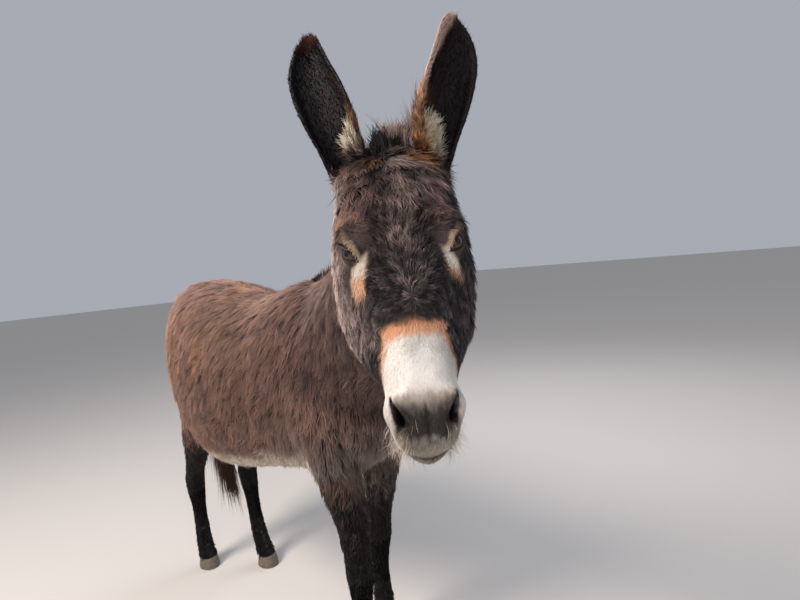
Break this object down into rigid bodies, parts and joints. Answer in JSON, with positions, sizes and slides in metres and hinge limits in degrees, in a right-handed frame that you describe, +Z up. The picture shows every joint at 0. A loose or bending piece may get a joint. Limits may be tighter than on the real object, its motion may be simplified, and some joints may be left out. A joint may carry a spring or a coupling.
{
  "type": "donkey",
  "caption": "Life-size standing donkey in a long brown winter coat, pale muzzle with a rust band, head turned to its right, ears up, short upright mane, tufted tail.",
  "frame": {"origin": "on the floor, under the middle of the bounding box", "axes": "the donkey faces -Y with its left side towards +X, +Z up; the soles stand on the plane Z = 0"},
  "size_m": [0.6174, 1.7234, 1.5335],
  "materials": {
    "coat": "long matt winter hair, chocolate brown with reddish tips, black-brown legs and ears",
    "skin": "dark hide under the coat, velvety on the muzzle and lips",
    "long_hair": "coarse dark hair of the mane and tail tuft",
    "eye": "wet, very dark brown eyeball",
    "hoof_horn": "worn grey-brown horn with fine growth rings"
  },
  "bodies": {
    "root": {"head": "coat", "neck": "coat", "trunk": "coat", "foreleg_left": "coat", "foreleg_right": "coat", "hindleg_left": "coat", "hindleg_right": "coat", "ear_left": "coat", "ear_right": "coat", "tail_dock": "coat", "eye_left": "eye", "eye_right": "eye", "forehoof_left": "hoof_horn", "forehoof_right": "hoof_horn", "hindhoof_left": "hoof_horn", "hindhoof_right": "hoof_horn", "mane": "long_hair", "tail_switch": "long_hair"}
  },
  "joints": []
}
